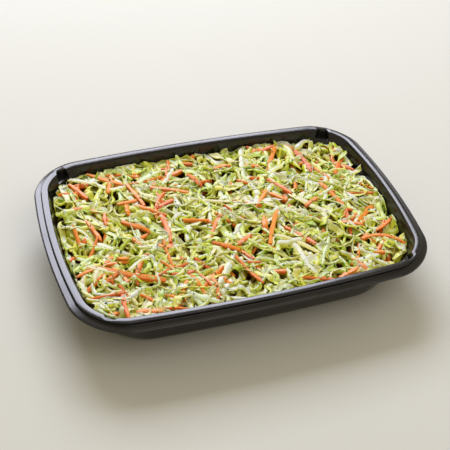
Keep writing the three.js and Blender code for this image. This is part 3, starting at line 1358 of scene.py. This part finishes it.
@dataclass
class Coleslaw:
    """The heap: its core, and every cut laid on it in turn.

    `gap` keeps everything off the wall. `bite` is how far a piece sinks into what it lies on,
    and `deepest` how far it is lowered at most as a whole to stay under the heap's ceiling.
    `bedded` is the share of its own rise that a piece keeps above the ground, and `skin` how
    far below its upper side the next one meets it. `feelers` are the places across a piece
    that feel the ground, and `pulls` is how often a limp piece pulls itself straight. The
    `chosen` fields, `plump` and `thinnest` are for the pieces at chosen places.
    """

    form: TrayForm
    seed: int = 7
    gap: float = 0.4 * MM
    bite: float = 0.3 * MM
    skin: float = 0.05 * MM
    bedded: float = 0.75
    feelers: tuple[float, ...] = (-0.7, 0.0, 0.7)
    pulls: int = 6
    steepest: float = 0.7
    deepest: float = 8 * MM
    fine_steps: int = 4
    jitter: float = 1.5 * MM
    overhang: float = 3 * MM
    edge_share: float = 0.3
    nudges: int = 6
    plump: float = 1.25
    chosen_calm: float = 0.4
    chosen_swing: float = 0.03
    chosen_spring: float = 0.9
    chosen_depth: float = 0.85
    thinnest: float = 1.6 * MM
    veil_width: Range = (1.0, 2.4)
    # Up and towards the key light: faces turned this way get the painted highlight.
    lit_side_way: tuple[float, float, float] = (0.1, 0.38, 0.92)
    core_rings: int = 56
    core_centre: float = 0.02
    core_walls: Range = (8 * MM, 14 * MM)
    core_crease: float = 60.0
    manner: Manner = field(default_factory=Manner)
    herbs: Herbs = field(default_factory=Herbs)
    heap: Heap = field(init=False)
    rng: np.random.Generator = field(init=False)

    def __post_init__(self) -> None:
        """Starts an empty heap."""
        self.heap = Heap(self.form)
        self.rng = np.random.default_rng(self.seed)

    def _between(self, limits: Range, shape: Any = None, scale: float = 1.0) -> Any:
        """Random numbers between two limits that are given in a unit."""
        return self.rng.uniform(limits[0] * scale, limits[1] * scale, shape)

    def _phase(self) -> float:
        """A random start for a wave."""
        return self._between((0, 6))

    def _paths(
        self, centre: np.ndarray, heading: np.ndarray, length: np.ndarray, bend: np.ndarray,
        swing: np.ndarray, points: int,
    ) -> np.ndarray:
        """Flat paths that turn evenly and swing about their turn.

        Args:
            centre: where the paths' middles lie (n, 2).
            heading: their middle headings (n,).
            length: their lengths (n,).
            bend: how far each turns from end to end (n,).
            swing: how far each swings to the sides (n,).
            points: points on each path.

        Returns:
            Points (n, points, 2).
        """
        way, one_each = self.manner, (len(heading), 1)
        share = np.linspace(-1, 1, points - 1)[None, :]
        phase = self._between((0, 2 * math.pi), one_each)
        cycles = self._between(way.cycles, one_each)
        hook = self.rng.normal(0, way.hook_spread, one_each) * swing[:, None]
        turn = heading[:, None] + bend[:, None] / 2 * share + hook * share**3
        turn = turn + swing[:, None] * np.sin(phase + share * math.pi * cycles)
        steps = np.stack([np.cos(turn), np.sin(turn)], -1) * (length / (points - 1))[:, None, None]
        path = np.concatenate([np.zeros((len(heading), 1, 2)), steps.cumsum(1)], 1)
        return path - path.mean(1, keepdims=True) + centre[:, None]

    def _spread(self, count: int) -> np.ndarray:
        """Places spread evenly over the tray, with a little jitter.

        Args:
            count: how many are asked for.

        Returns:
            Places (n, 2), of which n is at most the count.
        """
        start = self.rng.random(2)
        number = np.arange(count * 2)[:, None]
        share = (start + number * np.array(EVEN_STEPS)) % 1
        places = (share - 0.5) * (self.form.length, self.form.width)
        level = np.full(len(places), self.heap.edge_level)
        distance, _ = self.form.outside(places, level, -self.overhang)
        inside = places[distance < 0][:count]
        return inside + self.rng.normal(0, self.jitter, inside.shape)

    def _keep_in(self, paths: np.ndarray, width: np.ndarray, rigid: bool) -> np.ndarray:
        """Moves paths inside the wall: a stick as a whole, a limp strip point by point.

        Args:
            paths: the paths (n, points, 2).
            width: the pieces' widths (n,).
            rigid: whether the pieces are sticks.

        Returns:
            The moved paths.
        """
        level = np.full(paths.shape[:2], self.heap.edge_level + self.heap.climb)
        margin = self.gap + self.edge_share * width[:, None]
        for _ in range(self.nudges):
            distance, way = self.form.outside(paths, level, margin)
            over = np.maximum(distance, 0)
            if rigid:
                worst = over.argmax(1)
                rows = np.arange(len(paths))
                paths = paths - (over[rows, worst][:, None] * way[rows, worst])[:, None]
            else:
                paths = paths - over[..., None] * way
        return paths

    def draw(self, cut: Cut) -> Batch:
        """Draws every piece of a cut at random.

        Args:
            cut: the cut.

        Returns:
            Its pieces.
        """
        centre = self._spread(cut.count)
        count = len(centre)
        shortest, longest = cut.length[0] * MM, cut.length[1] * MM
        length = self._between((0, 1), count) ** self.manner.short_favour * (longest - shortest)
        length = length + shortest
        paths = self._paths(
            centre,
            self._between((0, math.pi), count),
            length,
            self.rng.normal(0, cut.bend / 2, count),
            np.abs(self.rng.normal(0, cut.swing, count)),
            cut.segments + 1,
        )
        width = self._between(cut.width, count, MM)
        return Batch(
            cut=cut,
            paths=self._keep_in(paths, width, cut.section is Section.STICK),
            width=width,
            thickness=self._between(cut.thickness, count, MM),
            spring=self._between(cut.spring, count),
            tone=self._between(cut.tone, count),
            film=self._between(cut.film, count),
            lift=np.zeros(count),
        )

    def chosen(self, cut: Cut, pieces: Sequence[Placed]) -> Batch:
        """The pieces of a cut that lie at chosen places.

        Args:
            cut: the cut.
            pieces: where they lie and how large they are.

        Returns:
            The pieces, ready to be laid.
        """
        table = np.array([(p.heading, p.tone, p.film) for p in pieces])
        sizes = [(p.x, p.y, p.length, p.width, p.swell, p.lift) for p in pieces]
        x, y, length, width, swell, lift = np.array(sizes).T * MM
        width = width * self.plump
        rigid = cut.section is Section.STICK
        paths = self._paths(
            np.stack([x, y], 1),
            np.radians(table[:, 0]),
            length,
            -TURN_PER_SWELL * swell / length,
            np.full(len(x), self.chosen_swing),
            cut.segments + 1,
        )
        return Batch(
            cut=cut,
            paths=self._keep_in(paths, width, rigid),
            width=width,
            thickness=np.maximum(width * self.chosen_depth * rigid, self.thinnest),
            spring=np.full(len(x), self.chosen_spring),
            tone=table[:, 1],
            film=table[:, 2],
            lift=lift,
        )

    def _taper(self, cut: Cut, share: np.ndarray, calm: float) -> np.ndarray:
        """How wide a piece is along its length.

        Args:
            cut: the piece's cut.
            share: places along it, from -1 to 1 (n,).
            calm: 1 for a piece as uneven as its cut, and less for a plainer one.

        Returns:
            Widths, as shares of its full width (n,).
        """
        way = self.manner
        ends = self._between(cut.taper, 2) * (way.least_taper + (1 - way.least_taper) * calm)
        power = self._between(way.taper_power, 2)
        taper = 1 - ends[0] * np.maximum(-share, 0) ** power[0]
        taper = taper * (1 - ends[1] * np.maximum(share, 0) ** power[1])
        for size, waves in ((way.lump, way.lump_waves), (way.nick, way.nick_waves)):
            phase = self._phase()
            taper = taper * (1 + size * np.sin(phase + share * self._between(waves)))
        return taper

    def _roll(self, cut: Cut, share: np.ndarray, calm: float) -> np.ndarray:
        """How far a piece leans about its own length.

        Args:
            cut: the piece's cut.
            share: places along it, from -1 to 1 (n,).
            calm: 1 for a piece as curly as its cut, and less for one that lies flatter.

        Returns:
            Angles (n,).
        """
        rng, way = self.rng, self.manner
        roll = calm * (rng.normal(0, cut.roll) + rng.normal(0, cut.twist) * share)
        wrung = np.sin(self._phase() + way.wring_waves * share)
        return roll + calm * way.wring * cut.twist * wrung

    def _arched(self, cut: Cut, share: np.ndarray, crests: float, calm: float) -> np.ndarray:
        """A piece's own shape from the side: its arch, its curled ends and its waves.

        Args:
            cut: the piece's cut.
            share: places along it, from -1 to 1 (n,).
            crests: its waves, in radians per half length.
            calm: 1 for a piece as curly as its cut, and less for one that lies flatter.

        Returns:
            Heights (n,).
        """
        way = self.manner
        drawn = np.maximum(self.rng.normal(way.rise_mean, way.rise_spread, 2), 0)
        arch, curl = drawn * (cut.arch * MM, cut.curl * MM) * calm
        shape = arch * (1 - share**2)
        shape = shape + curl * share**2 * (1 + self._between((-1, 1)) * share)
        return shape + cut.wave * MM * np.sin(self._phase() + crests * share)

    def _ground(self, path: np.ndarray, reach: np.ndarray) -> np.ndarray:
        """How high the heap comes under a piece.

        Args:
            path: the piece's middle line (n, 2).
            reach: how far it goes to each side (n,).

        Returns:
            Heights (n,).
        """
        flat = unit(np.gradient(path, axis=0))
        across = reach[:, None]
        side = np.stack([-flat[:, 1], flat[:, 0]], 1)
        return np.maximum.reduce([self.heap.at(path + k * across * side) for k in self.feelers])

    def _level(
        self, ground: np.ndarray, shape: np.ndarray, rise: np.ndarray, spring: float,
        length: float,
    ) -> np.ndarray:
        """The height of a piece's middle line, between sagging and bridging.

        Args:
            ground: the lowest that it can lie (n,).
            shape: its own shape from the side (n,).
            rise: how far it reaches above its middle line (n,).
            spring: how far it keeps its own shape.
            length: its length.

        Returns:
            Heights (n,).
        """
        heap = self.heap
        sag = drape(ground, self.pulls)
        steepest = self.steepest * length / 2
        level = sag + spring * (shape + lean(ground - shape, steepest) - sag)
        level = np.maximum(level, ground) - self.bite
        level = level - np.clip((level + rise - heap.ceiling).max(), 0.0, self.deepest)
        return np.minimum(level, heap.ceiling - rise)

    def _profile(
        self, cut: Cut, share: np.ndarray, half: float, thick: float, taper: np.ndarray,
        crests: float,
    ) -> tuple[np.ndarray, np.ndarray]:
        """A piece's cross-sections, rippled along it and cupped.

        Args:
            cut: the piece's cut.
            share: places along it, from -1 to 1 (n,).
            half: half its full width.
            thick: half its full thickness.
            taper: its widths, as shares of its full width (n,).
            crests: its waves, in radians per half length.

        Returns:
            How far each point lies to the side of the middle line and above it (n, around).
        """
        way = self.manner
        outward, upward = cut.section.points().T[:, None]
        wide = (half * taper)[:, None] * outward
        high = (thick * (way.thin_end + (1 - way.thin_end) * taper))[:, None] * upward
        waves = way.ripple_pace * crests * share[:, None] + self._phase()
        waves = waves + way.ripple_lag * outward
        high = high + cut.ripple * MM * taper[:, None] * np.sin(waves) * np.abs(outward)
        cup = self.rng.normal(0, cut.cup) * half * taper[:, None]
        return wide, high + cup * (outward**2 - way.cup_level)

    def _lay(self, batch: Batch, number: int, calm: float = 1.0) -> dict[str, np.ndarray]:
        """Lays one piece on the heap.

        Args:
            batch: the pieces of its cut.
            number: which piece.
            calm: 1 for a piece as curly as its cut, and less for one that lies flatter.

        Returns:
            Its vertices (points, around, 3) and the numbers that they carry.
        """
        cut, rng, way = batch.cut, self.rng, self.manner
        path = batch.paths[number]
        share = np.linspace(-1, 1, len(path))
        half = batch.width[number] / 2
        thick = batch.thickness[number] / 2
        taper = self._taper(cut, share, calm)
        length = np.linalg.norm(np.diff(path, axis=0), axis=1).sum()
        crests = math.pi * length / self._between(way.crest, None, MM)
        roll = self._roll(cut, share, calm)
        rise = thick * np.abs(np.cos(roll)) + np.abs(np.sin(roll)) * half * taper
        ground = self._ground(path, np.abs(np.cos(roll)) * half * taper) + self.bedded * rise
        shape = self._arched(cut, share, crests, calm)
        level = self._level(ground, shape, rise, batch.spring[number], length)
        level = level + batch.lift[number] * np.maximum(share, 0) ** 2
        spine = np.column_stack([path, level])
        ahead = unit(np.gradient(spine, axis=0))
        sideways = unit(np.cross((0.0, 0.0, 1.0), ahead))
        up = np.cross(ahead, sideways)
        cos, sin = np.cos(roll)[:, None], np.sin(roll)[:, None]
        sideways, up = cos * sideways + sin * up, cos * up - sin * sideways
        wide, high = self._profile(cut, share, half, thick, taper, crests)
        points = spine[:, None] + wide[..., None] * sideways[:, None] + high[..., None] * up[:, None]
        outward = cut.section.points()[:, 0]
        slant = rng.normal(0, way.slant_spread, 2) * half * (cut.section is not Section.STICK)
        slant = np.where(share < 0, slant[0], slant[1]) * np.abs(share) ** way.slant_power
        points = points + (slant[:, None] * outward)[..., None] * ahead[:, None]
        distance, out = self.form.outside(points[..., :2], points[..., 2], self.gap)
        points[..., :2] -= np.maximum(distance, 0)[..., None] * out
        self._press(points)
        steps = np.linalg.norm(np.diff(spine, axis=0, prepend=spine[:1]), axis=1)
        everywhere = np.ones(points.shape[:2])
        tone = batch.tone[number] + rng.normal(0, way.tone_spread) * share
        return {
            "points": points,
            "tone": tone[:, None] * everywhere,
            "film": batch.film[number] * everywhere,
            "rim": np.abs(outward) ** way.rim_power * everywhere,
            "along": steps.cumsum()[:, None] * everywhere,
            "across": wide + high,
            "tag": rng.random() * everywhere,
        }

    def _press(self, points: np.ndarray) -> None:
        """Raises the heap to a laid piece's upper side.

        Args:
            points: its vertices (steps, around, 3).
        """
        last = len(points) - 1
        fine = np.linspace(0, last, len(points) * self.fine_steps)
        low = fine.astype(int).clip(0, last - 1)
        part = (fine - low)[:, None, None]
        dense = points[low] * (1 - part) + points[low + 1] * part
        following = np.roll(dense, -1, 1)
        mixed = np.concatenate(
            [dense, (dense * 2 + following) / 3, (dense + following * 2) / 3], 1
        )
        self.heap.cover(mixed[..., :2].reshape(-1, 2), mixed[..., 2].reshape(-1) - self.skin)

    def _atlas(self, count: int, steps: int, around: int) -> np.ndarray:
        """Gives each strand a cell of its own on the sheet that its colours are kept on.

        Args:
            count: strands.
            steps: rings on a strand.
            around: points round a ring.

        Returns:
            Places (loops, 2), in the order of the mesh's faces.
        """
        long_cells, margin, cap_place = 4, 0.07, 0.03
        cap_size, filled = (0.02, 0.4), (0.96, 0.9)
        columns = max(1, round(math.sqrt(count / long_cells)))
        rows = math.ceil(count / columns)
        step, turn = np.meshgrid(np.arange(steps - 1), np.arange(around), indexing="ij")
        corners = []
        for s, t in ((0, 0), (0, 1), (1, 1), (1, 0)):
            along = (step + s) / (steps - 1) * (1 - 2 * margin) + margin
            corners.append(np.stack([along, (turn + t) / around], -1))
        body = np.stack(corners, 2).reshape(-1, 2)
        angle = np.arange(around) * 2 * math.pi / around
        disc = np.stack([np.cos(angle), np.sin(angle)], 1) * cap_size + (0, 0.5)
        cells = np.arange(count)
        start = np.stack([cells % columns / columns, cells // columns / rows], 1)
        size = np.array(filled) / (columns, rows)
        parts = [body, disc[::-1] + (cap_place, 0), disc + (1 - cap_place, 0)]
        return np.concatenate([(start[:, None] + part * size).reshape(-1, 2) for part in parts])

    def _strips(self, cut: Cut, laid: Sequence[dict[str, np.ndarray]]) -> bpy.types.Object:
        """Joins laid pieces of one cut into one mesh.

        Args:
            cut: the cut.
            laid: its pieces.

        Returns:
            The joined piece.
        """
        points = np.stack([piece["points"] for piece in laid])
        count, steps, around = points.shape[:3]
        ring = np.arange(around)
        low = (np.arange(steps - 1)[:, None] * around + ring).ravel()
        after = (np.arange(steps - 1)[:, None] * around + (ring + 1) % around).ravel()
        quads = np.stack([low, after, after + around, low + around], 1)
        last = (steps - 1) * around
        start = np.arange(count) * steps * around
        loops, totals = [], []
        for faces in (quads, ring[::-1][None], (last + ring)[None]):
            spread = (start[:, None, None] + faces[None]).reshape(-1, faces.shape[1])
            loops.append(spread.ravel())
            totals.append(np.full(len(spread), faces.shape[1]))
        mesh = bpy.data.meshes.new(cut.name)
        indices, total = np.concatenate(loops), np.concatenate(totals)
        mesh.vertices.add(points.size // 3)
        mesh.vertices.foreach_set("co", points.astype(np.float32).ravel())
        mesh.loops.add(len(indices))
        mesh.loops.foreach_set("vertex_index", indices.astype(np.int32))
        mesh.polygons.add(len(total))
        starts = np.concatenate([[0], total.cumsum()[:-1]])
        mesh.polygons.foreach_set("loop_start", starts.astype(np.int32))
        mesh.update(calc_edges=True)
        sheet = mesh.uv_layers.new(name="OFBake")
        atlas = self._atlas(count, steps, around)
        sheet.uv.foreach_set("vector", atlas.astype(np.float32).ravel())
        numbers = {name: np.stack([piece[name] for piece in laid]) for name in NUMBERS}
        # Depth below the heap's top, which sets the painted shade.
        numbers["depth"] = self.heap.depth(points)
        normals = np.empty(points.size, np.float32)
        mesh.vertex_normals.foreach_get("vector", normals)
        # How far each vertex faces up and towards the key light, for the painted highlight.
        numbers["up"] = normals.reshape(-1, 3) @ np.array(self.lit_side_way, np.float32)
        for name, values in numbers.items():
            carry(mesh, name, values)
        piece = bpy.data.objects.new(cut.name, mesh)
        bpy.context.scene.collection.objects.link(piece)
        return piece

    def _herbs(self) -> bpy.types.Object:
        """Flecks of chopped herb, stuck to the top of the heap.

        Returns:
            The flecks, as one piece.
        """
        rng, herbs, cell = self.rng, self.herbs, self.heap.cell
        places = self._spread(herbs.count)
        level = self.heap.at(places)
        distance, _ = self.form.outside(places, level, herbs.wall_gap)
        places, level = places[distance < 0], level[distance < 0]
        count, around = len(places), herbs.corners
        size = herbs.smallest + herbs.growth * rng.random(count) ** herbs.rarity
        turn = np.linspace(0, 2 * math.pi, around, endpoint=False)[None, :]
        turn = turn + self._between((0, 6), (count, 1))
        reach = size[:, None] * self._between(herbs.ragged, (count, around))
        flat = np.stack([np.cos(turn), np.sin(turn)], -1) * reach[..., None]
        flat[..., 0] *= self._between(herbs.narrow, (count, 1))
        steps = np.array([(1.0, 0.0), (0.0, 1.0)]) * cell
        tilt = [self.heap.at(places + step) - self.heap.at(places - step) for step in steps]
        tilt = np.clip(np.stack(tilt, 1) / (2 * cell), -herbs.steepest, herbs.steepest)
        slope = (flat * tilt[:, None]).sum(-1)
        points = np.empty((count, 2, around, 3))
        for layer, height in enumerate(herbs.faces):
            points[:, layer, :, :2] = places[:, None] + flat * (1 - herbs.bevel * layer)
            points[:, layer, :, 2] = level[:, None] + slope + height
        cut = Cut("herb_flecks", "herb", Section.LEAF, HERB, count=count, segments=1)
        drawn = rng.random((count, len(NUMBERS), 1, 1)) * np.ones((1, 1, 2, around))
        laid = [{"points": points[k], **dict(zip(NUMBERS, drawn[k]))} for k in range(count)]
        return self._strips(cut, laid)

    def core(self) -> bpy.types.Object:
        """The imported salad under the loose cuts, closed down to the tray's floor.

        Returns:
            The core.
        """
        form, heap = self.form, self.heap
        outline = form.ring(form.wall(heap.edge_level - heap.sunk, -self.gap))
        rings = [form.ring(level) for level in form.fillet(-self.gap)]
        rings += [form.ring(form.wall(z, -self.gap)) for z in self.core_walls]
        for share in np.linspace(1, self.core_centre, self.core_rings):
            ring = outline * (share, share, 1)
            ring[:, 2] = heap.packed(ring[:, :2]) - heap.sunk
            rings.append(ring)
        piece = through_rings("slaw_core", rings)
        for name in (*NUMBERS, "depth", "up"):
            carry(piece.data, name, np.full(len(piece.data.vertices), 0.5))
        return piece

    def _all_laid(self) -> dict[str, list[dict[str, np.ndarray]]]:
        """Lays everything: the random pieces mixed, then the chosen ones, then a thin veil.

        Returns:
            The laid pieces of each cut, by its name.
        """
        batches = [self.draw(cut) for cut in CUTS]
        order = sorted(
            (self.rng.random() * batch.cut.last, b, k)
            for b, batch in enumerate(batches)
            for k in range(len(batch.paths))
        )
        laid: dict[str, list[dict[str, np.ndarray]]] = {cut.name: [] for cut in CUTS}
        for _, b, k in order:
            laid[CUTS[b].name].append(self._lay(batches[b], k))
        by_name = {cut.name: cut for cut in CUTS}
        for name, pieces in ON_TOP.items():
            batch = self.chosen(by_name[name], pieces)
            laid[name] += [self._lay(batch, k, self.chosen_calm) for k in range(len(pieces))]
        for cut in CUTS:
            if cut.veil:
                batch = self.draw(replace(cut, count=cut.veil, width=self.veil_width))
                laid[cut.name] += [self._lay(batch, k) for k in range(len(batch.paths))]
        return laid

    def build(self) -> list[bpy.types.Object]:
        """Lays everything and dresses it.

        Returns:
            The pieces, the core first.
        """
        core = self.core()
        # The core wears the dark colours of painted shade.
        finish_piece(core, CORE_PAINTED_SHADE.material(), "coleslaw", self.core_crease)
        laid = self._all_laid()
        pieces = [core]
        materials: dict[str, bpy.types.Material] = {}
        for cut in CUTS:
            if cut.finish.name not in materials:
                materials[cut.finish.name] = cut.finish.material()
            piece = self._strips(cut, laid[cut.name])
            finish_piece(piece, materials[cut.finish.name], "coleslaw", cut.crease)
            pieces.append(piece)
        herbs = self._herbs()
        finish_piece(herbs, HERB.material(), "coleslaw", self.herbs.crease)
        heights = self.heap.heights
        LOG.info("heap top: mean %.1f mm, highest %.1f mm", heights.mean() / MM, heights.max() / MM)
        return pieces + [herbs]


# Stage


@dataclass(frozen=True)
class Softbox:
    """A rectangular studio light that faces the tray, with its angles in degrees."""

    name: str
    heading: float
    elevation: float
    distance: float
    width: float
    height: float
    power: float
    colour: Colour = (1.0, 1.0, 1.0)

    def hang(self) -> None:
        """Hangs the light."""
        heading, rise = math.radians(self.heading), math.radians(self.elevation)
        place = self.distance * Vector(
            (
                math.cos(heading) * math.cos(rise),
                math.sin(heading) * math.cos(rise),
                math.sin(rise),
            )
        )
        light = bpy.data.lights.new(self.name, "AREA")
        light.shape = "RECTANGLE"
        light.size = self.width
        light.size_y = self.height
        light.energy = self.power
        light.color = self.colour
        lamp = bpy.data.objects.new(self.name, light)
        lamp.location = place
        lamp.rotation_euler = (-place).to_track_quat("-Z", "Y").to_euler()
        bpy.context.scene.collection.objects.link(lamp)


@dataclass
class Studio:
    """The floor, the lights and the camera, whose turn is in degrees."""

    floor_size: float = 40.0
    lights: tuple[Softbox, ...] = (
        Softbox("window", 85, 42, 1.7, 1.27, 0.76, 27.9, (0.92, 0.96, 1.04)),
        Softbox("fill", -60, 60, 2.2, 1.4, 1.4, 8.5, (1.0, 0.95, 0.86)),
        Softbox("edge", 43, 20, 1.9, 0.5, 0.36, 1.2, (0.86, 0.9, 1.0)),
    )
    sky: Colour = (1.0, 0.9, 0.6)
    sky_strength: float = 0.45
    camera_place: tuple[float, float, float] = (-0.2191, -0.5178, 0.5311)
    camera_turn: tuple[float, float, float] = (48.171, -3.896, -19.186)
    lens: float = 76.17
    sensor: float = 36.0

    def build(self) -> None:
        """Builds the stage."""
        deselect()
        bpy.ops.mesh.primitive_plane_add(size=self.floor_size)
        floor = bpy.context.object
        floor.name = "floor"
        floor.data.materials.append(PaleFloor().material())
        for light in self.lights:
            light.hang()
        scene = bpy.context.scene
        world = scene.world or bpy.data.worlds.new("sky")
        scene.world = world
        world.use_nodes = True
        sky = world.node_tree.nodes["Background"]
        sky.inputs["Color"].default_value = (*self.sky, 1.0)
        sky.inputs["Strength"].default_value = self.sky_strength
        camera = bpy.data.cameras.new("camera")
        camera.lens = self.lens
        camera.sensor_width = self.sensor
        eye = bpy.data.objects.new("camera", camera)
        eye.location = self.camera_place
        eye.rotation_euler = [math.radians(turn) for turn in self.camera_turn]
        scene.collection.objects.link(eye)
        scene.camera = eye
        scene.view_settings.view_transform = "Standard"
        scene.view_settings.look = "None"


def main() -> None:
    """Builds the tray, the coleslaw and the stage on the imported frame."""
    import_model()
    form = TrayForm()
    Tray(form).build()
    Coleslaw(form).build()
    Studio().build()


if __name__ == "__main__":
    main()
